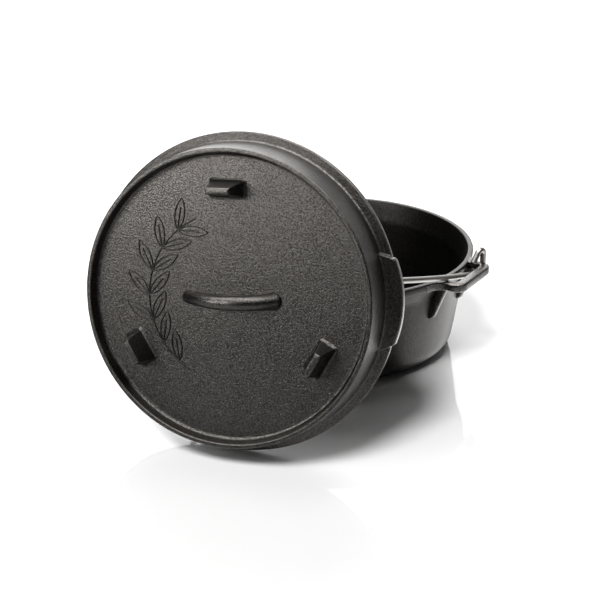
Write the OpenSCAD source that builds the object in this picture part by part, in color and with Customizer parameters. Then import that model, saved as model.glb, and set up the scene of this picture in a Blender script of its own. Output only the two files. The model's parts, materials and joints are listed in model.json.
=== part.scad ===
// Camp dutch oven: a cast pot with two loop ears, a wire bail hooked into them,
// and a cast lid with a coal ridge, three feet, two lugs and a loop handle.
// Millimetres, +Z up. The pot stands on z = 0 with its ears along X.

/* [Pot] */
// height of the pot, floor to rim
pot_height = 108; // [90:1:140]
// outer diameter of the rim
rim_d = 280; // [240:1:320]
// how far the rim stands out from the wall
rim_lip = 4.6; // [2:0.1:8]
// width of the land on top of the rim
rim_land = 5.2; // [4:0.1:9]
// height of the rim band
rim_band = 5; // [5:0.5:12]
// height of the cove below the rim band
rim_cove = 16; // [6:0.5:24]
// thickness of the wall
wall = 4.4; // [3.5:0.1:8]
// lean of the wall from upright, degrees
wall_taper = 8.4; // [3:0.1:14]
// radius of the outer corner at the base
base_round = 21.4; // [12:0.1:30]
// thickness of the pot's floor
floor_t = 4.5; // [3.5:0.5:10]
// radius of the inner corner at the floor
inner_round = 17; // [8:0.5:28]
// rounding of the rim's inner edge
rim_round = 1.5; // [0.5:0.1:2]
// rounding of the rim's outer edge
edge_round = 1.2; // [0.5:0.1:2.5]

/* [Ears] */
// clear width of the slot between rim and bar
slot_w = 11.5; // [10:0.5:16]
// width of the ear's bar
bar_w = 10; // [7:0.5:14]
// length of the ear along the rim
ear_len = 71; // [60:1:90]
// thickness of the ear, and diameter of the two arms that the bail turns on
ear_t = 9; // [7:0.5:11]
// rounding of the ear's outer corners
ear_corner = 9; // [4:0.5:14]
// fillet between ear and rim, seen from above
ear_fillet = 12; // [5:0.5:20]
// thickness of the ribs below the ear
rib_t = 5.8; // [4:0.5:9]
// height of the ribs
rib_h = 35; // [20:1:50]
// gap between a rib and the bail's eye
rib_gap = 1; // [0.5:0.1:3]
// how far a rib's blunt foot stands out from the wall
rib_foot = 4.5; // [2:0.5:8]

/* [Bail] */
// wire diameter
wire_d = 6; // [4:0.5:8]
// reach of the bail from its hinge line
bail_len = 270; // [230:1:272]
// radius of the bail's crown
crown_r = 114; // [90:1:120]
// lean of the bail's legs towards each other at the eye, degrees
leg_lean = 2.2; // [0:0.1:4]
// gap between the eye and the ear's bar
bar_gap = 1; // [0.5:0.1:3]
// gap between the eye and the arm that it turns on
eye_gap = 0.3; // [0.2:0.1:1]
// height of the middle of the eye's top bend above the hinge line
eye_rise = 11.3; // [9:0.1:20]
// radius of that bend, to the middle of the wire
eye_top_r = 5.2; // [4.5:0.1:7]
// turn of the eye's free leg towards the pot, degrees
eye_turn = 8; // [0:1:10]
// splay of that leg away from the arm, degrees
eye_open = 10; // [5:1:15]
// how far above the hinge line the wire's cut end stops
tip_gap = 3; // [1:0.5:6]

/* [Lid] */
// how far the flange reaches past the pot's rim, on each side
flange_over = 5; // [2:0.5:12]
// thickness of the flange at its edge
flange_t = 5; // [3:0.5:8]
// rise of the flange from its edge to the foot of the wall
flange_rise = 2.9; // [0:0.1:6]
// width of the flange outside the lid's wall
flange_w = 8.5; // [5:0.5:16]
// how far the lid's outer wall draws in from its foot to the ridge
lid_draft = 3.5; // [0:0.1:8]
// height of the ridge above the seat
lid_height = 44.6; // [35:0.1:60]
// width of the ridge at its top
ridge_w = 4; // [3:0.5:8]
// depth of the dish inside the ridge
dish_depth = 11; // [6:0.5:18]
// slope of the ridge's inner wall, as a run
ridge_run = 1.8; // [0:0.1:4]
// rounding where the dish meets the ridge
dish_fillet = 2.6; // [1:0.1:5]
// rounding of the ridge's top edges
ridge_round = 1.1; // [0.4:0.1:1.5]
// thickness of the lid's plate
plate_t = 4.5; // [4:0.5:12]
// thickness of the lid's wall
lid_wall = 4.4; // [4:0.1:10]
// rounding under the plate
hollow_round = 8; // [4:0.5:16]
// height of the lip that drops inside the rim
lip_h = 3; // [2:0.5:5]
// thickness of that lip
lip_t = 4; // [3:0.5:6]
// gap between that lip and the pot
lip_gap = 1.2; // [0.5:0.1:3]

/* [Lugs, feet and handle] */
// angle that each lug spans, degrees
lug_span = 32.4; // [15:0.1:45]
// how far a lug stands out beyond the flange
lug_out = 5.5; // [2:0.5:10]
// height of a lug at the lid's wall
lug_h = 12.5; // [10:0.5:20]
// height of a lug at its outer edge
lug_edge = 8; // [6:0.5:10]
// height of the feet above the dish
foot_h = 27; // [20:0.5:35]
// length of a foot at its base
foot_len = 32.5; // [24:0.5:40]
// length of a foot at its top
foot_top_len = 21; // [14:0.5:24]
// width of a foot at its base
foot_w = 16.5; // [10:0.5:20]
// width of a foot at its top
foot_top_w = 5.5; // [2:0.1:8]
// radius of the circle that the feet stand on
foot_circle = 98; // [80:0.5:110]
// half the span of the handle at the dish
handle_half = 40; // [30:1:55]
// rise of the handle's centre line
handle_rise = 20; // [14:0.5:26]
// diameter of the handle's bar
handle_d = 12.6; // [9:0.1:16]

/* [Leaf ornament] */
// radius of the stem's arc
stem_r = 76; // [60:1:80]
// width of the raised lines
line_w = 1.4; // [1:0.1:3]
// height of the raised lines
line_h = 0.7; // [0.4:0.1:1.5]
// length of a leaf
leaf_len = 30; // [16:1:36]
// width of a leaf
leaf_w = 10; // [6:0.5:14]
// angle between leaf and stem, degrees
leaf_tilt = 42; // [25:1:60]
// angle from one pair of leaves to the next, degrees
leaf_step = 17; // [12:1:30]
// half the angle that the stem spans, degrees
stem_half = 66; // [30:1:75]

/* [Pose] */
// lean of the standing lid from upright, degrees
lid_lean = 13.37; // [5:0.01:25]
// turn of the standing lid about the upright, degrees
lid_turn = 14.42; // [-30:0.01:30]
// roll of the lid about its own axis, degrees
lid_roll = 4.5; // [-180:0.5:180]
// sideways shift of the standing lid from the bail's crown
lid_side = 35.7; // [-60:0.1:60]
// how far the bail's crown reaches past the seat of the standing lid
crown_in = 11.4; // [0:0.1:13]
// where the lid is drawn
lid_place = "leaning"; // [leaning, seated]
// swing of the bail from where it rests in front, degrees
bail_swing = 0; // [0:5:185]

/* [Hidden] */
$fn = 96;
// steps along a rounded stretch of an outline
arc_steps = 6;
// overlap that joins the pieces of one casting
join = 3;

// pot
rim_r = rim_d / 2;
wall_top_r = rim_r - rim_lip;
wall_slope = tan(wall_taper);
base_turn_z = base_round * (1 - sin(wall_taper));
base_r = wall_r(base_turn_z) - base_round * cos(wall_taper);
inner_top_r = rim_r - rim_land;
flare_z = pot_height - rim_band - rim_cove;
flare_r = wall_r(flare_z) - wall;
flare_slope = (inner_top_r - flare_r) / (pot_height - rim_round - flare_z);
inner_turn_z = floor_t + inner_round * (1 - sin(wall_taper));
floor_r = wall_r(inner_turn_z) - wall - inner_round * cos(wall_taper);

// ears
bar_in = rim_r + slot_w;
bar_out = bar_in + bar_w;
arm_r = ear_t / 2;
// the arms' round sides are this much wider than the ear is thick, which leaves narrow flats on them
arm_flat = 0.1;
arm_round = arm_r + arm_flat;
arm_y = ear_len / 2 - arm_r;
ear_top = pot_height;
hinge_z = ear_top - ear_t / 2;
rib_y = arm_y - arm_r + rib_t / 2;
bail_half = bar_in - bar_gap - wire_d / 2;
eye_in = bail_half - wire_d / 2 - rib_gap;
rim_at_ear = sqrt(rim_r * rim_r - ear_len * ear_len / 4);
// the largest fillet behind the ear that stays clear of the bail's eye
back_end = eye_in - 0.5;
back_fillet = (back_end * back_end / (rim_r - ear_len / 2) - rim_r - ear_len / 2) / 2;

// bail
wire_r = wire_d / 2;
eye_r = arm_round + eye_gap + wire_r;
bail_rise = asin(eye_r / arm_y);
// the eye's legs draw together towards its top bend
eye_draw = asin((eye_r - eye_top_r) / eye_rise);
eye_leg = eye_rise * cos(eye_draw);
tip_lean = eye_draw + eye_open;
tip_leg = (eye_rise + eye_top_r * sin(tip_lean) - tip_gap) / cos(tip_lean);
crown_y = bail_len - crown_r;
side_far = bail_half * bail_half + crown_y * crown_y - crown_r * crown_r;
side_near = bail_half * cos(leg_lean) - crown_r - crown_y * sin(leg_lean);
side_r = side_far / (2 * side_near);
side_turn = asin((crown_y + side_r * sin(leg_lean)) / (side_r - crown_r));
// the wire's bends meet inside short sleeves that stand this far proud
sleeve = 0.01;

// lid
flange_r = rim_r + flange_over;
lid_foot_r = flange_r - flange_w;
ridge_r = lid_foot_r - lid_draft;
ridge_in = ridge_r - ridge_w;
flange_top = flange_t + flange_rise;
face_z = lid_height - dish_depth;
under_z = face_z - plate_t;
face_r = ridge_in - ridge_run;
lip_r = inner_top_r - lip_h * flare_slope - lip_gap;
hollow_foot_r = min(lip_r - lip_t, lid_foot_r - lid_wall);
hollow_top_r = ridge_r - lid_wall;
lug_r = flange_r + lug_out;
handle_r = (handle_half * handle_half + handle_rise * handle_rise) / (2 * handle_rise);
handle_turn = asin(handle_half / handle_r);
handle_root = 14;
// where the feet stand round the dish, degrees
foot_at = [90, 210, 330];

// the standing lid: its lower edge is on the floor and the bail's crown points into its hollow
lid_axis = [sin(lid_turn) * cos(lid_lean), -cos(lid_turn) * cos(lid_lean), sin(lid_lean)];
lid_across = [cos(lid_turn), sin(lid_turn), 0];
lid_front = [sin(lid_turn), -cos(lid_turn), 0];
crown_mid = bail_point(0, crown_y);
crown_most = crown_mid * lid_axis + crown_r;
lid_seat_z = flange_r * cos(lid_lean);
lid_along = crown_most + wire_r - crown_in;
lid_out = (lid_along - lid_seat_z * sin(lid_lean)) / cos(lid_lean);
lid_sideways = bail_point(0, bail_len) * lid_across + lid_side;
lid_seat = lid_across * lid_sideways + lid_front * lid_out + [0, 0, lid_seat_z];

function wall_r(z) = wall_top_r - (pot_height - z) * wall_slope;
function arc(c, r, from, to, n = arc_steps) =
    [for (i = [0 : n]) c + r * [cos(from + (to - from) * i / n), sin(from + (to - from) * i / n)]];
function bail_point(x, y) =
    [x, arm_y - y * cos(bail_rise) - eye_r * sin(bail_rise), hinge_z + y * sin(bail_rise) - eye_r * cos(bail_rise)];

// Pot

function cove(n = arc_steps) = [for (i = [0 : n])
    let (t = i / n, z = pot_height - rim_band - rim_cove * (1 - t), k = (1 - cos(180 * t)) / 2)
    [wall_r(z) + (rim_r - wall_r(z)) * k, z]];

module pot_outside() {
    rotate_extrude() polygon(concat(
        [[0, 0]],
        arc([base_r, base_round], base_round, -90, -wall_taper),
        cove(),
        arc([rim_r - edge_round, pot_height - edge_round], edge_round, 0, 90),
        [[0, pot_height]]));
}

module pot_cavity() {
    lift = 1;
    rotate_extrude() polygon(concat(
        [[0, floor_t]],
        arc([floor_r, floor_t + inner_round], inner_round, -90, -wall_taper),
        [[flare_r, flare_z]],
        arc([inner_top_r + rim_round, pot_height - rim_round], rim_round, 180, 90),
        [[inner_top_r + rim_round, pot_height + lift], [0, pot_height + lift]]));
}

// round corner piece between an arm and the rim, seen from above
module ear_web(radius) {
    bite = 0.15;
    out = rim_r + radius;
    up = ear_len / 2 + radius;
    middle = [sqrt(out * out - up * up), up];
    difference() {
        polygon([middle, middle * (rim_r - join) / out, [rim_at_ear - join, ear_len / 2 - join],
            [middle.x, ear_len / 2 - join]]);
        translate(middle) circle(r = radius + bite);
    }
}

module ear_plan() {
    difference() {
        union() {
            translate([rim_at_ear - join, -ear_len / 2])
                square([bar_out - ear_corner - rim_at_ear + join, ear_len]);
            translate([bar_out - 2 * ear_corner, -ear_len / 2 + ear_corner])
                square([2 * ear_corner, ear_len - 2 * ear_corner]);
            for (side = [-1, 1])
                translate([bar_out - ear_corner, side * (ear_len / 2 - ear_corner)]) circle(r = ear_corner);
            mirror([0, 1]) ear_web(ear_fillet);
            ear_web(min(ear_fillet, back_fillet));
        }
        difference() {
            translate([0, -ear_len / 2 + ear_t]) square([bar_in, ear_len - 2 * ear_t]);
            circle(r = rim_r - edge_round - 0.5);
        }
        circle(r = rim_r - rim_lip + 0.8);
    }
}

// what is taken off an arm to leave it round, between two distances from its middle
module arm_relief(y, from, to, start) {
    deep = ear_t + 2;
    translate([start, 0, 0]) rotate([90, 0, 90]) linear_extrude(bar_in - start)
        difference() {
            translate([y + from, hinge_z - deep / 2]) square([to - from, deep]);
            translate([y, hinge_z]) circle(r = arm_round);
        }
}

// rib below an arm: it runs down the wall to a blunt foot
module ear_rib(side) {
    foot_z = ear_top - ear_t - rib_h;
    wall_x = sqrt(wall_r(foot_z) * wall_r(foot_z) - rib_y * rib_y);
    foot_x = wall_x + rib_foot;
    translate([0, side * rib_y + rib_t / 2, 0]) rotate([90, 0, 0]) linear_extrude(rib_t)
        polygon([[wall_x - join, foot_z], [foot_x - rib_foot / 2, foot_z], [foot_x, foot_z + 2],
            [eye_in, ear_top - ear_t], [eye_in, hinge_z - 0.5], [wall_x - join, hinge_z - 0.5]]);
}

module ear() {
    difference() {
        translate([0, 0, ear_top - ear_t]) linear_extrude(ear_t) ear_plan();
        arm_relief(arm_y, -arm_r, 0, rim_r - rim_lip);
        arm_relief(arm_y, 0, arm_r + 1, eye_in);
        arm_relief(-arm_y, 0, arm_r, rim_r - rim_lip);
    }
    for (side = [-1, 1]) ear_rib(side);
}

module pot() {
    color([0.16, 0.16, 0.17])
        difference() {
            union() {
                pot_outside();
                for (side = [0, 1]) mirror([side, 0, 0]) ear();
            }
            pot_cavity();
        }
}

// Bail: each bend of wire carries on from the end of the one before

module run(length) {
    cylinder(d = wire_d, h = length);
    translate([0, 0, length]) children();
}

module bend(radius, angle) {
    translate([radius, 0, 0]) rotate([90, 0, 180])
        rotate_extrude(angle = angle) translate([radius, 0]) circle(d = wire_d);
    translate([radius * (1 - cos(angle)), 0, radius * sin(angle)]) rotate([0, angle, 0]) children();
}

module meet(proud, length) {
    translate([0, 0, -length / 2]) cylinder(d = wire_d + 2 * proud, h = length);
    children();
}

module wide_meet() {
    meet(sleeve, 0.6) children();
}

module tight_meet() {
    meet(5 * sleeve, 0.4) children();
}

module half_bail() {
    translate([0, bail_len, eye_r]) rotate([-90, 0, 0]) rotate([0, 90, 0])
        bend(crown_r, 90 - side_turn) wide_meet() bend(side_r, side_turn - leg_lean) tight_meet()
        rotate([0, 0, 90]) bend(eye_r, 90 + eye_draw) tight_meet()
        run(eye_leg) rotate([0, 0, -eye_turn]) tight_meet()
        bend(eye_top_r, 180 - 2 * eye_draw - eye_open) tight_meet() run(tip_leg);
}

module bail() {
    color([0.78, 0.78, 0.76])
        translate([0, arm_y, hinge_z]) rotate([180 - bail_rise - bail_swing, 0, 0])
            for (side = [0, 1]) mirror([side, 0, 0]) half_bail();
}

// Lid, drawn with its seat on z = 0 and its dish facing up

module lid_shell() {
    rotate_extrude() polygon(concat(
        [[0, face_z]],
        arc([face_r - dish_fillet, face_z + dish_fillet], dish_fillet, -90, 0),
        arc([ridge_in + ridge_round, lid_height - ridge_round], ridge_round, 180, 90, 3),
        arc([ridge_r - ridge_round, lid_height - ridge_round], ridge_round, 90, 0, 3),
        [[lid_foot_r, flange_top]],
        arc([flange_r - edge_round, flange_t - edge_round], edge_round, 90, 0, 3),
        [[flange_r, 0], [lip_r, 0], [lip_r - 0.6, -lip_h], [hollow_foot_r + 1, -lip_h]],
        arc([hollow_top_r - hollow_round, under_z - hollow_round], hollow_round, 0, 90),
        [[0, under_z]]));
}

module lug() {
    rotate([0, 0, -lug_span / 2]) rotate_extrude(angle = lug_span)
        polygon(concat(
            [[lid_foot_r - join, 0], [lug_r, 0]],
            arc([lug_r - edge_round, lug_edge - edge_round], edge_round, 0, 70, 3),
            [[lid_foot_r - join, lug_h]]));
}

// tapered block with its long side along the rim
module foot() {
    root = plate_t / 2;
    grow_w = (foot_w - foot_top_w) / 2 / foot_h;
    grow_len = (foot_len - foot_top_len) / 2 / foot_h;
    translate([foot_circle, 0, face_z]) intersection() {
        rotate([90, 0, 0]) linear_extrude(2 * foot_len, center = true)
            polygon([for (end = [-root, foot_h], side = [-1, 1])
                [side * (end < 0 ? 1 : -1) * (foot_top_w / 2 + grow_w * (foot_h - end)), end]]);
        rotate([90, 0, 90]) linear_extrude(2 * foot_w, center = true)
            polygon([for (end = [-root, foot_h], side = [-1, 1])
                [side * (end < 0 ? 1 : -1) * (foot_top_len / 2 + grow_len * (foot_h - end)), end]]);
    }
}

module lid_handle() {
    sweep = 2 * handle_turn + 2 * handle_root;
    intersection() {
        translate([0, 0, face_z + handle_rise - handle_r])
            rotate([90, 0, 0]) rotate([0, 0, 90 - sweep / 2])
                rotate_extrude(angle = sweep) translate([handle_r, 0]) circle(d = handle_d);
        translate([-2 * handle_half, -handle_d, face_z - plate_t / 2])
            cube([4 * handle_half, 2 * handle_d, plate_t + handle_rise + handle_d]);
    }
}

// outline of a pointed leaf that starts at the origin and lies along +X
module leaf_shape(length, width) {
    r = (length * length / 4 + width * width / 4) / width;
    intersection_for (side = [-1, 1]) translate([length / 2, side * (r - width / 2)]) circle(r = r);
}

module leaf() {
    difference() {
        leaf_shape(leaf_len, leaf_w);
        translate([line_w * 1.6, 0]) leaf_shape(leaf_len - line_w * 3.4, leaf_w - 2 * line_w);
    }
    square([leaf_len * 0.72, line_w * 0.8]);
}

// leafy stem on one side of the dish, with room left round the foot that stands there
module sprig() {
    pairs = floor(stem_half / leaf_step);
    translate([0, 0, face_z - line_h]) linear_extrude(2 * line_h) {
        rotate([0, 0, 180]) difference() {
            intersection() {
                circle(r = stem_r + line_w / 2);
                polygon([[0, 0], 2 * stem_r * [cos(stem_half), -sin(stem_half)], [2 * stem_r, 0],
                    2 * stem_r * [cos(stem_half), sin(stem_half)]]);
            }
            circle(r = stem_r - line_w / 2);
        }
        for (i = [-pairs : pairs], side = [-1, 1]) {
            at = 180 - i * leaf_step;
            tip = at - atan(leaf_len * cos(leaf_tilt) / (stem_r + side * leaf_len * sin(leaf_tilt)));
            by_foot = side > 0 && abs((at + tip) / 2 - foot_at[1]) < leaf_step;
            if (!by_foot)
                rotate([0, 0, at]) translate([stem_r, 0]) rotate([0, 0, -90 + side * leaf_tilt]) leaf();
        }
    }
}

module lid_casting() {
    lid_shell();
    for (side = [0, 180]) rotate([0, 0, side]) lug();
    for (at = foot_at) rotate([0, 0, at]) foot();
    lid_handle();
    sprig();
}

module lid() {
    seated_turn = 90;
    color([0.18, 0.18, 0.19])
        if (lid_place == "leaning")
            translate(lid_seat) rotate([90 - lid_lean, 0, lid_turn]) rotate([0, 0, lid_roll]) lid_casting();
        else
            translate([0, 0, pot_height]) rotate([0, 0, seated_turn]) lid_casting();
}

pot();
bail();
lid();
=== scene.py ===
import json
import math

import bpy
import numpy as np
from mathutils import Matrix, Vector


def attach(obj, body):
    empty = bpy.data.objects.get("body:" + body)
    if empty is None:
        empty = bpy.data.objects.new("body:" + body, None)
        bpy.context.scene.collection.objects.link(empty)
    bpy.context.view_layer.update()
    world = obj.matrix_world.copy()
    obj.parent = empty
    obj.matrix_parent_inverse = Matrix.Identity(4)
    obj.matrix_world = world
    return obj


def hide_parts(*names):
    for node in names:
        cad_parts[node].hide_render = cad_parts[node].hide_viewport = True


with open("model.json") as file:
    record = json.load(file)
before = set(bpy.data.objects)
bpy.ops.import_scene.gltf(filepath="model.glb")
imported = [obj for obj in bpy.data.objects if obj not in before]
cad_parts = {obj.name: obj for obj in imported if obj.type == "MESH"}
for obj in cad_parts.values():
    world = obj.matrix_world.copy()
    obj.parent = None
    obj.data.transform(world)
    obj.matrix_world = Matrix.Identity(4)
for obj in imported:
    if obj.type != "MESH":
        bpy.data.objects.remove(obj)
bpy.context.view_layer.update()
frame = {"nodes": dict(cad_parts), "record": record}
nodes = frame["nodes"]
joints = {j["name"]: j for j in frame["record"]["behaviour"]["joints"]}
mm = 0.001
print("frame loaded:", ", ".join(sorted(nodes)))

scene = bpy.context.scene
scene.view_settings.view_transform = "Standard"


# mesh helpers, all in millimetres

smoothAngle = 40  # degrees between two faces, above which their edge stays sharp
axisGap = 0.02  # radius left open on the axis of a turned shape
leastFlat = 0.01  # straight length left between two rounded corners


def unit(v):
    v = np.asarray(v, float)
    return v / np.linalg.norm(v)


def between(start, end, part):
    return start + (end - start) * part


# how far x has come from start to end, from 0 to 1
def progress(x, start, end):
    return np.clip((x - start) / (end - start), 0, 1)


def smooth(x, start, end):
    t = progress(x, start, end)
    return t * t * (3 - 2 * t)


def arcPoints(mid, radius, start, end, steps):
    a = np.linspace(start, end, steps + 1)
    return np.stack([mid[0] + radius * np.cos(a), mid[1] + radius * np.sin(a)], 1)


# an outline of (x, y, rounding) corners with its corners rounded and its long runs cut up
def roundedOutline(corners, closed=False, arcSteps=6, runStep=None):
    pts = [np.array(c[:2], float) for c in corners]
    out = []
    last = len(pts) - 1
    for i, corner in enumerate(corners):
        radius = corner[2] if len(corner) > 2 else 0
        if radius == 0 or (not closed and i in (0, last)):
            out.append(pts[i])
            continue
        before, after = unit(pts[i - 1] - pts[i]), unit(pts[(i + 1) % len(pts)] - pts[i])
        half = math.acos(np.clip(before @ after, -1, 1)) / 2
        mid = pts[i] + unit(before + after) * radius / math.sin(half)
        start = pts[i] + before * radius / math.tan(half) - mid
        end = pts[i] + after * radius / math.tan(half) - mid
        a = math.atan2(start[1], start[0])
        turn = (math.atan2(end[1], end[0]) - a + math.pi) % (2 * math.pi) - math.pi
        out.extend(arcPoints(mid, radius, a, a + turn, arcSteps))
    if runStep:
        cut = []
        for near, far in zip(out, out[1:] + out[:1] if closed else out[1:]):
            count = max(1, int(np.linalg.norm(far - near) / runStep))
            cut.extend(near + (far - near) * k / count for k in range(count))
        out = cut if closed else cut + [out[-1]]
    return np.array(out)


def roundedBox(left, right, low, high, rounding, arcSteps=4):
    rounding = min(rounding, (right - left) / 2 - leastFlat, (high - low) / 2 - leastFlat)
    return roundedOutline([(right, high, rounding), (left, high, rounding), (left, low, rounding),
                           (right, low, rounding)], closed=True, arcSteps=arcSteps)


def roundSection(radius, count):
    a = np.linspace(0, 2 * math.pi, count, endpoint=False)
    return np.stack([radius * np.cos(a), radius * np.sin(a)], 1)


def turnedRing(r, z, a):
    return np.stack([r * np.cos(a), r * np.sin(a), np.full(len(a), z)], 1)


def atHeight(points, z):
    return np.column_stack([points, np.full(len(points), z)])


# rings along a path in space: section(i) gives the (across, up) points at path[i]
def sweep(path, up, section):
    up = np.array(up, float)
    rings = []
    for i, p in enumerate(path):
        ahead = unit(path[min(i + 1, len(path) - 1)] - path[max(i - 1, 0)])
        upward = unit(up - ahead * (up @ ahead))
        across = np.cross(ahead, upward)
        q = section(i)
        rings.append(p + np.outer(q[:, 0], across) + np.outer(q[:, 1], upward))
    return rings


# quads between neighbouring rings of points; returns vertices and faces
def skin(rings, closedRing=True, closedRun=False, caps=(False, False)):
    count = len(rings[0])
    verts = np.concatenate(rings)
    faces = []
    for i in range(len(rings) - (0 if closedRun else 1)):
        a, b = i * count, ((i + 1) % len(rings)) * count
        for j in range(count if closedRing else count - 1):
            k = (j + 1) % count
            faces.append((a + j, a + k, b + k, b + j))
    if caps[0]:
        faces.append(tuple(range(count - 1, -1, -1)))
    if caps[1]:
        start = (len(rings) - 1) * count
        faces.append(tuple(range(start, start + count)))
    return verts, faces


def flipped(faces):
    return [f[::-1] for f in faces]


def mirroredX(part):
    verts, faces = part
    return verts * np.array([-1, 1, 1]), flipped(faces)


def placed(part, matrix):
    verts, faces = part
    return verts @ np.array(matrix.to_3x3()).T + np.array(matrix.translation), faces


# one mesh object from several skins
def makePiece(name, skins, body, node, material):
    verts, faces, start = [], [], 0
    for v, f in skins:
        verts.append(np.asarray(v) * mm)
        faces.extend(tuple(start + k for k in face) for face in f)
        start += len(v)
    mesh = bpy.data.meshes.new(name)
    mesh.from_pydata(np.concatenate(verts).tolist(), [], faces)
    mesh.validate()
    mesh.polygons.foreach_set("use_smooth", [True] * len(mesh.polygons))
    mesh.set_sharp_from_angle(angle=math.radians(smoothAngle))
    mesh.update()
    piece = bpy.data.objects.new(name, mesh)
    scene.collection.objects.link(piece)
    piece.data.materials.append(material)
    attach(piece, body)
    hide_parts(node)
    return piece


# shader helpers

class Signal:
    def __init__(self, tree, socket):
        self.tree, self.socket = tree, socket

    def make(self, kind, settings, inputs, out=0):
        node = self.tree.nodes.new(kind)
        for key, value in settings.items():
            setattr(node, key, value)
        for key, value in inputs.items():
            self.feed(node.inputs[key], value)
        return Signal(self.tree, node.outputs[out])

    def feed(self, socket, value):
        if isinstance(value, Signal):
            self.tree.links.new(value.socket, socket)
        else:
            socket.default_value = value

    def maths(self, operation, first, second, clamp=False):
        settings = {"operation": operation, "use_clamp": clamp}
        return self.make("ShaderNodeMath", settings, {0: first, 1: second})

    def __add__(self, other):
        return self.maths("ADD", self, other)

    def __sub__(self, other):
        return self.maths("SUBTRACT", self, other)

    def __rsub__(self, other):
        return self.maths("SUBTRACT", other, self)

    def __mul__(self, other):
        return self.maths("MULTIPLY", self, other)

    __radd__, __rmul__ = __add__, __mul__

    def clamped(self):
        return self.maths("ADD", self, 0, clamp=True)

    def ramp(self, low, high):
        return self.make("ShaderNodeMapRange", {"interpolation_type": "SMOOTHSTEP"},
                         {"Value": self, "From Min": low, "From Max": high})

    def blend(self, first, second):
        colourOut = 2
        return self.make("ShaderNodeMix", {"data_type": "RGBA"},
                         {"Factor": self, "A": first, "B": second}, colourOut)

    def noise(self, scale, detail, roughness):
        return self.make("ShaderNodeTexNoise", {},
                         {"Vector": self, "Scale": scale, "Detail": detail, "Roughness": roughness})

    def bump(self, strength, distance):
        return self.make("ShaderNodeBump", {}, {"Strength": strength, "Distance": distance, "Height": self})


def newMaterial(name):
    material = bpy.data.materials.new(name)
    material.use_nodes = True
    shader = material.node_tree.nodes["Principled BSDF"]
    coords = material.node_tree.nodes.new("ShaderNodeTexCoord")
    return material, shader, Signal(material.node_tree, coords.outputs["Object"])


# seasoned cast iron: a dark satin skin with sand grain; its colour darker in the grain's hollows and in pits
# is painted shade
def ironMaterial(name, look):
    material, shader, spot = newMaterial(name)
    patches = spot.noise(look["patchScale"], detail=3, roughness=0.55).ramp(*look["patchRange"])
    sand = spot.noise(look["sandScale"], detail=2, roughness=0.55)
    fine = spot.noise(look["fineScale"], detail=1, roughness=0.5)
    pits = spot.noise(look["pitScale"], detail=2, roughness=0.5).ramp(*look["pitRange"])
    height = sand * look["sandShare"] + fine * look["fineShare"]
    # darker where the grain lies low: painted shade in the sand grain's hollows
    shadedGrainTone = height.ramp(*look["toneRange"]).blend(look["hollow"], look["crest"])
    rough = look["rough"] + patches * look["roughSpread"] + pits * look["pitRough"]
    relief = height - pits * look["pitDepth"]
    # pits take a still darker colour: painted shade in the pits
    spot.feed(shader.inputs["Base Color"], (pits * look["pitShadeCover"]).blend(shadedGrainTone, look["shadedPit"]))
    spot.feed(shader.inputs["Roughness"], rough.clamped())
    spot.feed(shader.inputs["Normal"], relief.bump(look["bump"], look["bumpDepth"]))
    shader.inputs["Metallic"].default_value = 1
    return material


# bright drawn wire with a faint grain and duller handling marks
def wireMaterial(name, look):
    material, shader, spot = newMaterial(name)
    marks = spot.noise(look["markScale"], detail=3, roughness=0.6).ramp(*look["markRange"])
    grain = spot.noise(look["grainScale"], detail=1, roughness=0.4)
    rough = look["rough"] + marks * look["markRough"] + grain * look["grainRough"]
    spot.feed(shader.inputs["Base Color"], marks.blend(look["bright"], look["dull"]))
    spot.feed(shader.inputs["Roughness"], rough.clamped())
    spot.feed(shader.inputs["Normal"], grain.bump(look["bump"], look["bumpDepth"]))
    shader.inputs["Metallic"].default_value = 1
    return material


# hollow and pit are darker colours that paint shade into the grain's hollows and pits
lidLook = dict(hollow=(0.03, 0.028, 0.0262, 1), crest=(0.08, 0.0748, 0.07, 1), shadedPit=(0.02, 0.0187, 0.0175, 1),
               patchScale=14, sandScale=720, fineScale=1300, pitScale=300,
               patchRange=(0.32, 0.7), toneRange=(0.36, 0.64), pitRange=(0.62, 0.78),
               sandShare=0.7, fineShare=0.3, pitShadeCover=0.6, pitDepth=0.15,
               rough=0.3, roughSpread=0.05, pitRough=0.1, bump=1, bumpDepth=0.0005)
# the pot's outside is a lighter copy of the lid's iron; its lighter colour is painted light, while its
# roughness and bump are its own
potLitLook = dict(lidLook, hollow=(0.042, 0.0397, 0.0378, 1), crest=(0.105, 0.0993, 0.0945, 1),
               rough=0.27, bump=0.7)
# the pot's inside is a darker copy of the iron: painted shade for the shaded inside
shadedInsideLook = dict(lidLook, hollow=(0.012, 0.0112, 0.0105, 1), crest=(0.03, 0.028, 0.0263, 1),
                  rough=0.34, bump=0.7)
# the leaf relief is a darker copy of the iron: painted shade along its lines
shadedReliefLook = dict(lidLook, hollow=(0.014, 0.0131, 0.0122, 1), crest=(0.036, 0.0336, 0.0315, 1))
wireLook = dict(bright=(0.25, 0.241, 0.227, 1), dull=(0.17, 0.163, 0.153, 1),
                markScale=90, grainScale=900, markRange=(0.5, 0.8),
                rough=0.29, markRough=0.12, grainRough=0.05, bump=0.08, bumpDepth=0.0002)
lidIron = ironMaterial("seasonedIronLid", lidLook)
potLitIron = ironMaterial("seasonedIronPotPaintedLight", potLitLook)
shadedInsideIron = ironMaterial("seasonedIronInsidePaintedShade", shadedInsideLook)
shadedReliefIron = ironMaterial("seasonedIronReliefPaintedShade", shadedReliefLook)
brightWire = wireMaterial("brightWire", wireLook)
print("materials ready")


# pot

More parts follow.
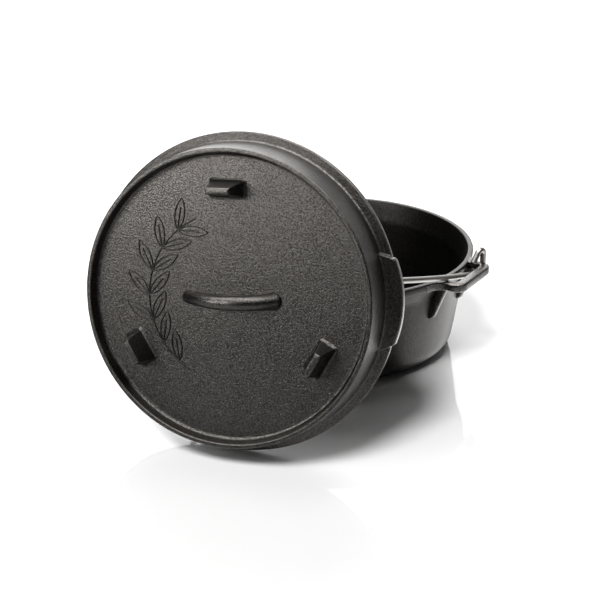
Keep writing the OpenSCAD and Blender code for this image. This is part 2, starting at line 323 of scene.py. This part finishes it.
# taper is in degrees
pot = dict(height=108, rimR=140, lip=4.6, land=5.2, band=5, cove=16, wall=4.4, taper=8.4, floor=4.5,
           baseRound=21.4, coveLowRound=22, coveTopRound=12, edgeRound=1.3, landRound=1.5,
           coveInRound=30, innerRound=17, around=288, runStep=6)
ear = dict(barIn=151.5, barOut=161.5, armY=31, thick=9, cornerMid=8.5, frontFillet=12, backFillet=10,
           rootR=136, rootRun=9, sunk=0.02, barRound=2, widenBefore=2, widenRun=5,
           eyeX=147.5, eyeRun=6, eyeRound=4.3, cornerSteps=8, runStep=1.2)
# sink is how far a rib is let into the wall, fading out towards sinkTopZ
rib = dict(thick=5.8, height=35, top=143.5, foot=4.5, rounding=2.2, blunt=2.6, bluntRun=3.2,
           sink=3, sinkTopZ=92, sinkRun=14, rings=24)


def potWallR(z):
    return pot["rimR"] - pot["lip"] - (pot["height"] - z) * math.tan(math.radians(pot["taper"]))


# turned shell, parted below the rim's land into an outer and an inner skin, so that the inner skin can take
# a darker iron as painted shade
def potSkins():
    top, rim, wall, floor = pot["height"], pot["rimR"], pot["wall"], pot["floor"]
    landR = rim - pot["land"]
    coveZ = top - pot["band"] - pot["cove"]
    outline = roundedOutline([
        (0, 0),
        (potWallR(0), 0, pot["baseRound"]),
        (potWallR(coveZ), coveZ, pot["coveLowRound"]),
        (rim, top - pot["band"], pot["coveTopRound"]),
        (rim, top, pot["edgeRound"]),
        (landR, top, pot["landRound"]),
        (potWallR(coveZ) - wall, coveZ, pot["coveInRound"]),
        (potWallR(floor) - wall, floor, pot["innerRound"]),
        (0, floor)], runStep=pot["runStep"])
    a = np.linspace(0, 2 * math.pi, pot["around"], endpoint=False)
    rings = [turnedRing(max(r, axisGap), z, a) for r, z in outline]
    brink = next(i for i, (r, z) in enumerate(outline) if r < landR and z < top - pot["landRound"])
    return skin(rings[:brink + 1], caps=(True, False)), skin(rings[brink:], caps=(False, True))


# loop ear: a bar swept out of the rim, along and back, widened where it leaves the rim
def earSkin():
    rimR, armY, half, corner = pot["rimR"], ear["armY"], ear["thick"] / 2, ear["cornerMid"]
    rootX = rimR - ear["rootRun"]
    barX = (ear["barIn"] + ear["barOut"]) / 2
    outline = roundedOutline([(rootX, armY), (barX, armY, corner), (barX, -armY, corner), (rootX, -armY)],
                             arcSteps=ear["cornerSteps"], runStep=ear["runStep"])
    path = atHeight(outline, pot["height"] - ear["sunk"] - half)

    # width that the fillet between arm and rim adds at a place on the arm
    def web(x, y):
        radius = ear["backFillet"] if y > 0 else ear["frontFillet"]
        midR, midY = rimR + radius, armY + half + radius
        gap = math.sqrt(midR * midR - midY * midY) - x
        if gap <= 0:
            return 0
        if gap > radius or x < rimR * (x + gap) / midR:
            return max(math.sqrt(max(rimR ** 2 - x * x, 0)) - armY - half, 0)
        return radius - math.sqrt(radius * radius - gap * gap)

    def section(i):
        x, y = outline[i]
        onBar = np.clip((x - (ear["barIn"] - ear["widenBefore"])) / ear["widenRun"], 0, 1)
        nearEye = np.clip(1 - abs(x - ear["eyeX"]) / ear["eyeRun"], 0, 1) ** 0.5
        rounding = between(ear["barRound"], ear["eyeRound"], nearEye)
        wide = half + (ear["barOut"] - ear["barIn"] - 2 * half) / 2 * onBar
        outer = wide + (web(x, y) if x < ear["barIn"] else 0)
        return roundedBox(-outer, wide, -half, half, rounding)

    verts, faces = skin(sweep(path, (0, 0, 1), section), caps=(True, True))
    fromAxis = np.hypot(verts[:, 0], verts[:, 1])
    verts[:, :2] *= np.maximum(1, ear["rootR"] / fromAxis)[:, None]  # keeps the roots inside the rim's metal
    return verts, faces


# rib below an arm, running down the wall to a blunt foot
def ribSkin(side):
    half = rib["thick"] / 2
    midY = ear["armY"] - ear["thick"] / 2 + half
    underZ = pot["height"] - ear["thick"]
    footZ = underZ - rib["height"]
    topZ = pot["height"] - ear["thick"] / 2
    footX = math.sqrt(potWallR(footZ) ** 2 - midY ** 2) + rib["foot"]
    rings = []
    for z in between(footZ, topZ, np.linspace(0, 1, rib["rings"])):
        wallX = math.sqrt(potWallR(z) ** 2 - midY ** 2)
        outX = between(footX, rib["top"], min((z - footZ) / (underZ - footZ), 1))
        outX -= rib["blunt"] * max(0, 1 - (z - footZ) / rib["bluntRun"]) ** 2
        sink = rib["sink"] * min(max((rib["sinkTopZ"] - z) / rib["sinkRun"], 0), 1)
        ring = roundedBox(wallX - sink, outX, -half, half, rib["rounding"])
        rings.append(atHeight(ring + (0, side * midY), z))
    return skin(rings, caps=(True, True))


potOuter, potInner = potSkins()
potParts = [potOuter]
for part in (earSkin(), ribSkin(1), ribSkin(-1)):
    potParts += [part, mirroredX(part)]
potPiece = makePiece("pot_casting", potParts, "pot", "pot", potLitIron)
# the inner skin gets the darker iron: painted shade
shadedInsidePiece = makePiece("pot_inside_painted_shade", [potInner], "pot", "pot", shadedInsideIron)
print("pot built:", len(potPiece.data.polygons) + len(shadedInsidePiece.data.polygons), "faces")


# bail

# legLean, eyeTurn and eyeOpen are in degrees
bail = dict(wire=6, half=147.5, reach=270, crownR=114, legLean=2.2, eyeR=7.9, eyeRise=11.3, eyeTopR=5.2,
            eyeTurn=8, eyeOpen=10, tipGap=3, tipBevel=0.45, tipScale=0.86, around=24,
            bowSteps=70, eyeSteps=16, riseSteps=6, eyeTopSteps=24, tipSteps=8)


# a point that is led along: bends towards its side, runs straight on, or rolls its side round
class Trail:
    def __init__(self, place, ahead, side):
        self.place, self.ahead, self.side = (np.array(v, float) for v in (place, ahead, side))
        self.points = [self.place]

    def bend(self, radius, angle, steps):
        start, ahead, side = self.place, self.ahead, self.side
        for a in np.linspace(0, angle, steps + 1)[1:]:
            self.points.append(start + radius * (math.sin(a) * ahead + (1 - math.cos(a)) * side))
        self.place = self.points[-1]
        self.ahead = math.cos(angle) * ahead + math.sin(angle) * side
        self.side = math.cos(angle) * side - math.sin(angle) * ahead

    def run(self, length, steps):
        self.points += [self.place + self.ahead * length * k / steps for k in range(1, steps + 1)]
        self.place = self.points[-1]

    def roll(self, angle):
        self.side = math.cos(angle) * self.side + math.sin(angle) * np.cross(self.ahead, self.side)


# right half of the bail, its bow level, as (across, out from the hinge line, up)
def bailHalf():
    reach, crownR, half, lean = bail["reach"], bail["crownR"], bail["half"], math.radians(bail["legLean"])
    eyeR, eyeTopR, eyeRise = bail["eyeR"], bail["eyeTopR"], bail["eyeRise"]
    crownY = reach - crownR
    spare = half * math.cos(lean) - crownR - crownY * math.sin(lean)
    sideR = (half ** 2 + crownY ** 2 - crownR ** 2) / (2 * spare)
    turn = math.asin((crownY + sideR * math.sin(lean)) / (sideR - crownR))
    draw = math.asin((eyeR - eyeTopR) / eyeRise)
    tipLean = draw + math.radians(bail["eyeOpen"])
    trail = Trail((0, reach, -eyeR), (1, 0, 0), (0, -1, 0))
    trail.bend(crownR, math.pi / 2 - turn, bail["bowSteps"])
    trail.bend(sideR, turn - lean, bail["bowSteps"])
    trail.roll(-math.pi / 2)
    trail.bend(eyeR, math.pi / 2 + draw, bail["eyeSteps"])
    trail.run(eyeRise * math.cos(draw), bail["riseSteps"])
    trail.roll(math.radians(bail["eyeTurn"]))
    trail.bend(eyeTopR, math.pi - draw - tipLean, bail["eyeTopSteps"])
    trail.run((eyeRise + eyeTopR * math.sin(tipLean) - bail["tipGap"]) / math.cos(tipLean), bail["tipSteps"])
    return np.array(trail.points)


# rings that don't twist, carried along from one station to the next
def wireRings(path, section):
    ahead = np.gradient(path, axis=0)
    ahead /= np.linalg.norm(ahead, axis=1)[:, None]
    anySide = (0.3, 0.5, 0.8)
    across = unit(np.cross(ahead[0], anySide))
    rings = []
    for i, p in enumerate(path):
        across = unit(across - ahead[i] * (across @ ahead[i]))
        other = np.cross(ahead[i], across)
        q = section(i)
        rings.append(p + np.outer(q[:, 0], across) + np.outer(q[:, 1], other))
    return rings


# whole bail with bevelled tips, turned about the hinge until its bow rests on the front arms
def bailSkin():
    right = bailHalf()
    path = np.concatenate([(right * np.array([-1, 1, 1]))[:0:-1], right])
    path = np.concatenate([path[:1], path, path[-1:]])
    path[1] = path[0] + unit(path[2] - path[0]) * bail["tipBevel"]
    path[-2] = path[-1] + unit(path[-3] - path[-1]) * bail["tipBevel"]
    tips = (0, len(path) - 1)

    def section(i):
        return roundSection(bail["wire"] / 2 * (bail["tipScale"] if i in tips else 1), bail["around"])

    verts, faces = skin(wireRings(path, section), caps=(True, True))
    hinge = joints["bail_swing"]["pos_m"]
    rest = math.asin(bail["eyeR"] / (hinge[1] / mm))
    out = np.array([0, -math.cos(rest), math.sin(rest)])
    up = np.array([0, math.sin(rest), math.cos(rest)])
    world = np.outer(verts[:, 0], [1, 0, 0]) + np.outer(verts[:, 1], out) + np.outer(verts[:, 2], up)
    return world + np.array(hinge) / mm, flipped(faces)


bailPiece = makePiece("bail_wire", [bailSkin()], "bail", "bail", brightWire)
print("bail built:", len(bailPiece.data.polygons), "faces")


# lid, drawn with its seat on z = 0 and its dish facing up

# roll is in degrees; flangeCuts are first and last, as shares of the flange's width, and how many
lid = dict(flangeR=145, flangeInR=136.5, flangeT=5, flangeTop=7.9, ridgeR=133, height=44.6, ridgeW=4,
           ridgeRun=1.8, dish=11, plate=4.5, wall=4.4, lipR=132.54, lipH=3, lipT=4,
           lipDraft=0.6, lipInDraft=1, dishRound=2.8, ridgeInRound=1.2, ridgeOutRound=1.3,
           flangeInRound=3, flangeEdgeRound=1.7, seatEdgeRound=1, lipRootRound=0.7, lipRound=0.8,
           hollowRound=8, roll=4.5, around=240, runStep=3.2, flangeCuts=(0.28, 0.84, 13))
# root and tip are half widths; fineTurns are first, last and step, in degrees past the lug's end
lug = dict(root=43.4, tip=40.1, reach=5.5, endReach=2.9, top=12.5, edge=8, corner=3.5, reachFromR=138,
           lowZ=2.5, fadeRun=16, endBefore=1.3, endAfter=0.1, fineTurns=(-2.4, 4.01, 0.2))
# skirt: height over the dish and spread there; crest: depth under the top and spread there
foot = dict(circle=97, angles=(90, 210, 330), height=27, length=30.5, topLength=22, width=14.5, topWidth=5.5,
            rounding=1.6, roundingLoss=0.4, leastRounding=0.3, cornerSteps=5,
            skirt=[(-0.6, 2.6), (0.05, 2.2), (0.5, 1.3), (1.2, 0.6), (2.2, 0.15), (3.4, 0)],
            sideLow=6, sideTop=1.8, sideRings=8,
            crest=[(1.1, -0.15), (0.5, -0.5), (0.12, -1), (0, -1.5)])
handle = dict(half=38.5, shift=1.5, rise=20, bar=12.6, taper=0.16, flare=1, flareRun=2.6,
              overrun=0.05, sunk=1.5, steps=72, around=28)
# halfSpan, step, tilt and footRoom are in degrees
sprig = dict(stemR=76, halfSpan=66, step=17, leafLength=29, leafWidth=9, leafRoom=30, veinShare=0.72,
             tilt=42, line=1.4, rise=0.8, sunk=0.4, footRoom=16,
             stemSteps=60, leafSteps=12, veinPoints=8, beadPoints=7)
faceZ = lid["height"] - lid["dish"]


def lidOutline():
    ridgeIn = lid["ridgeR"] - lid["ridgeW"]
    underZ = faceZ - lid["plate"]
    flange = [(between(lid["flangeInR"], lid["flangeR"], t), between(lid["flangeTop"], lid["flangeT"], t))
              for t in np.linspace(*lid["flangeCuts"])]
    return roundedOutline([
        (0, faceZ),
        (ridgeIn - lid["ridgeRun"], faceZ, lid["dishRound"]),
        (ridgeIn, lid["height"], lid["ridgeInRound"]),
        (lid["ridgeR"], lid["height"], lid["ridgeOutRound"]),
        (lid["flangeInR"], lid["flangeTop"], lid["flangeInRound"]),
        *flange,
        (lid["flangeR"], lid["flangeT"], lid["flangeEdgeRound"]),
        (lid["flangeR"], 0, lid["seatEdgeRound"]),
        (lid["lipR"], 0, lid["lipRootRound"]),
        (lid["lipR"] - lid["lipDraft"], -lid["lipH"], lid["lipRound"]),
        (lid["lipR"] - lid["lipT"] + lid["lipInDraft"], -lid["lipH"], lid["lipRound"]),
        (lid["ridgeR"] - lid["wall"], underZ, lid["hollowRound"]),
        (0, underZ)], runStep=lid["runStep"])


# turned shell whose flange reaches out and rises at the two lugs
def lidShell():
    flangeR, inR = lid["flangeR"], lid["flangeInR"]
    lugEnd = math.asin(lug["tip"] / (flangeR + lug["reach"]))
    fine = np.radians(np.arange(*lug["fineTurns"])) + lugEnd
    atEnds = np.concatenate([side + sign * fine for side in (0, math.pi) for sign in (-1, 1)])
    even = np.linspace(0, 2 * math.pi, lid["around"], endpoint=False)
    a = np.unique(np.round(np.concatenate([even, atEnds]) % (2 * math.pi), 6))
    fromLug = np.abs((a + math.pi / 2) % math.pi - math.pi / 2) * flangeR
    end = lugEnd * flangeR
    past = np.clip((fromLug - (end - lug["corner"])) / lug["corner"], 0, 1)
    bulge = 1 - np.clip(fromLug / end, 0, 1) ** 2
    reach = between(lug["endReach"], lug["reach"], bulge) * np.sqrt(1 - past ** 2)
    rings = []
    for r, z in lidOutline():
        ringR = r + progress(r, lug["reachFromR"], flangeR) * reach
        ringZ = z
        if z > lug["lowZ"] and r > lid["ridgeR"]:
            lugZ = between(lug["top"], lug["edge"], progress(ringR, inR, flangeR + lug["reach"]))
            out = progress(r, inR, flangeR)
            flangeZ = between(lid["flangeTop"], lid["flangeT"], out)
            endHere = math.asin(between(lug["root"], lug["tip"], out) / r) * flangeR
            onLug = 1 - smooth(fromLug, endHere - lug["endBefore"], endHere + lug["endAfter"])
            fade = np.clip(1 - max(z - lid["flangeTop"], 0) / lug["fadeRun"], 0, 1)
            ringZ = z + (lugZ - flangeZ) * onLug * fade * progress(z, lug["lowZ"], flangeZ)
        rings.append(turnedRing(np.maximum(ringR, axisGap), ringZ, a))
    verts, faces = skin(rings, caps=(True, True))
    return verts, flipped(faces)


# foot: a tapered block with a skirt that runs out into the dish
def footSkin(angle):
    height = foot["height"]
    levels = list(foot["skirt"])
    levels += [(z, 0) for z in np.linspace(foot["sideLow"], height - foot["sideTop"], foot["sideRings"])]
    levels += [(height - down, spread) for down, spread in foot["crest"]]
    rings = []
    for z, spread in levels:
        t = z / height
        halfW = between(foot["width"], foot["topWidth"], t) / 2 + spread
        halfL = between(foot["length"], foot["topLength"], t) / 2 + spread
        rounding = max(foot["rounding"] * (1 - foot["roundingLoss"] * t) + spread, foot["leastRounding"])
        ring = roundedBox(-halfW, halfW, -halfL, halfL, rounding, foot["cornerSteps"])
        rings.append(atHeight(ring + (foot["circle"], 0), faceZ + z))
    return placed(skin(rings, caps=(True, True)), Matrix.Rotation(math.radians(angle), 4, "Z"))


# bowed bar that thickens to the right and swells where it meets the dish
def handleSkin():
    half, rise, shift = handle["half"], handle["rise"], handle["shift"]
    radius = (half ** 2 + rise ** 2) / (2 * rise)
    turn = math.asin(half / radius) + handle["overrun"]
    arc = arcPoints((shift, faceZ + rise - radius), radius, math.pi / 2 + turn, math.pi / 2 - turn,
                    handle["steps"])
    path = np.column_stack([arc[:, 0], np.zeros(len(arc)), arc[:, 1]])

    def section(i):
        above = max(path[i][2] - faceZ, 0)
        along = (path[i][0] - shift) / half
        barR = handle["bar"] / 2 * (1 + handle["taper"] * along)
        return roundSection(barR + handle["flare"] * math.exp(-above / handle["flareRun"]), handle["around"])

    verts, faces = skin(sweep(path, (0, 1, 0), section), caps=(True, True))
    verts[:, 2] = np.maximum(verts[:, 2], faceZ - handle["sunk"])
    return verts, faces


# low half-round line on the dish
def beadSkin(line, closed):
    wide, sunk = sprig["line"] / 2, sprig["sunk"]
    a = np.linspace(0, math.pi, sprig["beadPoints"])
    top = np.stack([wide * np.cos(a), sprig["rise"] * np.sin(a)], 1)
    profile = np.concatenate([[(wide, -sunk)], top, [(-wide, -sunk)]])
    path = atHeight(line, faceZ)
    if closed:
        path = np.concatenate([path[-1:], path, path[:1]])
    rings = sweep(path, (0, 0, 1), lambda i: profile)
    if closed:
        rings = rings[1:-1]
    return skin(rings, closedRun=closed, caps=(not closed, not closed))


# edge and middle vein of a leaf that grows from base in a direction
def leafLines(base, direction):
    length, width, veinPoints = sprig["leafLength"], sprig["leafWidth"], sprig["veinPoints"]
    bend = (length ** 2 + width ** 2) / (4 * width)
    half = math.asin(length / 2 / bend)
    upper = arcPoints((length / 2, width / 2 - bend), bend, math.pi / 2 + half, math.pi / 2 - half,
                      sprig["leafSteps"])
    lower = upper[::-1] * np.array([1, -1])
    vein = np.column_stack([np.linspace(0, length * sprig["veinShare"], veinPoints), np.zeros(veinPoints)])
    c, s = math.cos(direction), math.sin(direction)
    turn = np.array([[c, s], [-s, c]])
    return np.concatenate([upper, lower[1:-1]]) @ turn + base, vein @ turn + base


# curved stem with leaves in pairs, without the outer leaves where the left foot stands
def sprigSkins():
    r, span, tilt = sprig["stemR"], math.radians(sprig["halfSpan"]), math.radians(sprig["tilt"])
    stem = arcPoints((0, 0), r, math.pi - span, math.pi + span, sprig["stemSteps"])
    skins = [beadSkin(stem, False)]
    pairs = int(sprig["halfSpan"] // sprig["step"])
    leftFoot = foot["angles"][1]
    along, out = sprig["leafRoom"] * math.cos(tilt), sprig["leafRoom"] * math.sin(tilt)
    for i in range(-pairs, pairs + 1):
        at = 180 - i * sprig["step"]
        for side in (-1, 1):
            tip = at - math.degrees(math.atan(along / (r + side * out)))
            if side > 0 and abs((at + tip) / 2 - leftFoot) < sprig["footRoom"]:
                continue
            base = r * np.array([math.cos(math.radians(at)), math.sin(math.radians(at))])
            edge, vein = leafLines(base, math.radians(at - 90) + side * tilt)
            skins += [beadSkin(edge, True), beadSkin(vein, False)]
    return skins


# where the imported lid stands: its own axis, and the middle of its flange
def lidPlace():
    axis = Vector(joints["lid_lift"]["axis"]).normalized()
    across = Vector((-axis.y, axis.x, 0)).normalized()
    rise = axis.cross(across)
    mesh = nodes["lid"].data
    pts = np.empty(len(mesh.vertices) * 3)
    mesh.vertices.foreach_get("co", pts)
    pts = pts.reshape(-1, 3) / mm
    span = [pts @ np.array(d) for d in (across, rise, axis)]
    middle = [(s.min() + s.max()) / 2 for s in span[:2]] + [span[2].min() + lid["lipH"]]
    stand = Matrix((across, rise, axis)).transposed().to_4x4()
    stand.translation = across * middle[0] + rise * middle[1] + axis * middle[2]
    return stand @ Matrix.Rotation(math.radians(lid["roll"]), 4, "Z")


lidMatrix = lidPlace()
lidParts = [lidShell(), handleSkin()] + [footSkin(angle) for angle in foot["angles"]]
lidParts = [placed(part, lidMatrix) for part in lidParts]
lidPiece = makePiece("lid_casting", lidParts, "lid", "lid", lidIron)
sprigParts = [placed(part, lidMatrix) for part in sprigSkins()]
# the relief takes the darker iron: painted shade along its lines
sprigPiece = makePiece("lid_leaf_relief", sprigParts, "lid", "lid", shadedReliefIron)
print("lid built:", len(lidPiece.data.polygons) + len(sprigPiece.data.polygons), "faces")


# stage, in metres

stage = dict(floorHalf=9, floorColour=(0.86, 0.86, 0.86, 1), floorRough=0.03, floorIor=1.45, worldSoft=0.035)
# suns: strength, spread in degrees, where from
suns = [(3.3, 17, (0.07, -0.72, 1.0)),  # high in front
        (0.22, 12, (0.08, 0.4, 1.0))]  # faint, from behind
# soft boxes: energy, middle, aim, width, height, whether they light the floor, whether they are reflected
boxes = [(9.5, (-0.2, -1.04, 0.58), (0.02, -0.25, 0.17), 0.5, 0.42, False, True),  # on the lid's face
         (48, (-1.32, 1.72, 1.4), (0, -0.1, 0.1), 2.1, 2.8, True, True),  # behind, left
         (25, (-0.5, 2.4, 1.1), (0, -0.1, 0.1), 4.0, 2.0, True, True),  # behind
         (77, (0, -0.1, 1.35), (0, -0.09, 0), 2.2, 1.4, False, True),  # overhead
         (3.4, (-0.2, -1.02, 0.64), (0.02, -0.25, 0.1), 0.5, 0.5, True, False),  # floor before the lid
         (0.26, (0.205, 0.075, 0.004), (0.205, 0.075, 1), 0.17, 0.25, False, True)]  # low, right of the pot
# cloth: start and end are degrees from straight in front, low and high its heights there
cloth = dict(middle=(0.05, -0.25), radius=0.58, start=5, end=80, low=0.1, high=0.25, hem=0.002, points=33,
             colour=(0.01, 0.01, 0.01, 1), rough=0.9)
# pitchDown and heading are in degrees, lens and sensor in millimetres
view = dict(place=(0.6908, -1.1387, 0.6373), pitchDown=24.11, heading=33.0, lens=81.87, sensor=36,
            near=0.05, far=60)


def stageMesh(name, verts, faces, material):
    mesh = bpy.data.meshes.new(name)
    mesh.from_pydata(verts, [], faces)
    mesh.materials.append(material)
    thing = bpy.data.objects.new(name, mesh)
    scene.collection.objects.link(thing)
    return thing


def plainMaterial(name, inputs):
    material, shader, spot = newMaterial(name)
    for key, value in inputs.items():
        spot.feed(shader.inputs[key], value)
    return material


def floorPlane():
    h = stage["floorHalf"]
    material = plainMaterial("paleFloor", {"Base Color": stage["floorColour"],
                                           "Roughness": stage["floorRough"], "IOR": stage["floorIor"]})
    corners = [(-h, -h, 0), (h, -h, 0), (h, h, 0), (-h, h, 0)]
    floor = stageMesh("studio_floor", corners, [(0, 1, 2, 3)], material)


# dark cloth round the front right, seen only in reflections
def darkCloth():
    material = plainMaterial("darkCloth", {"Base Color": cloth["colour"], "Roughness": cloth["rough"]})
    t = np.linspace(0, 1, cloth["points"])
    turn = np.radians(between(cloth["start"], cloth["end"], t))
    x = cloth["middle"][0] + cloth["radius"] * np.sin(turn)
    y = cloth["middle"][1] - cloth["radius"] * np.cos(turn)
    line = np.stack([x, y], 1)
    top = np.column_stack([line, between(cloth["low"], cloth["high"], t)])
    verts, faces = skin([atHeight(line, cloth["hem"]), top], closedRing=False)
    sheet = stageMesh("dark_cloth", verts.tolist(), faces, material)
    sheet.visible_camera = sheet.visible_diffuse = sheet.visible_shadow = False


def addLamp(light, whereFrom):
    lamp = bpy.data.objects.new(light.name, light)
    lamp.rotation_euler = Vector(whereFrom).to_track_quat("Z", "Y").to_euler()
    scene.collection.objects.link(lamp)
    return lamp


def lamps():
    for i, (strength, spread, whereFrom) in enumerate(suns):
        light = bpy.data.lights.new("sun_%d" % i, "SUN")
        light.energy, light.angle = strength, math.radians(spread)
        addLamp(light, whereFrom).visible_glossy = False
    for i, (energy, place, aim, wide, high, onFloor, reflected) in enumerate(boxes):
        light = bpy.data.lights.new("soft_box_%d" % i, "AREA")
        light.energy, light.shape, light.size, light.size_y = energy, "RECTANGLE", wide, high
        lamp = addLamp(light, Vector(place) - Vector(aim))
        lamp.location = place
        lamp.visible_camera, lamp.visible_diffuse, lamp.visible_glossy = False, onFloor, reflected


# white for what the camera sees, and nearly dark for everything else
def whiteWorld():
    world = bpy.data.worlds.new("studio")
    scene.world = world
    world.use_nodes = True
    tree = world.node_tree
    path = tree.nodes.new("ShaderNodeLightPath")
    seen = Signal(tree, path.outputs["Is Camera Ray"])
    back = tree.nodes["Background"]
    back.inputs["Color"].default_value = (1, 1, 1, 1)
    seen.feed(back.inputs["Strength"], stage["worldSoft"] + seen * (1 - stage["worldSoft"]))


def addCamera():
    data = bpy.data.cameras.new("camera")
    data.lens, data.sensor_width = view["lens"], view["sensor"]
    data.clip_start, data.clip_end = view["near"], view["far"]
    camera = bpy.data.objects.new("camera", data)
    camera.location = view["place"]
    camera.rotation_euler = (math.radians(90 - view["pitchDown"]), 0, math.radians(view["heading"]))
    scene.collection.objects.link(camera)
    scene.camera = camera


floorPlane()
darkCloth()
lamps()
whiteWorld()
addCamera()
print("stage set")
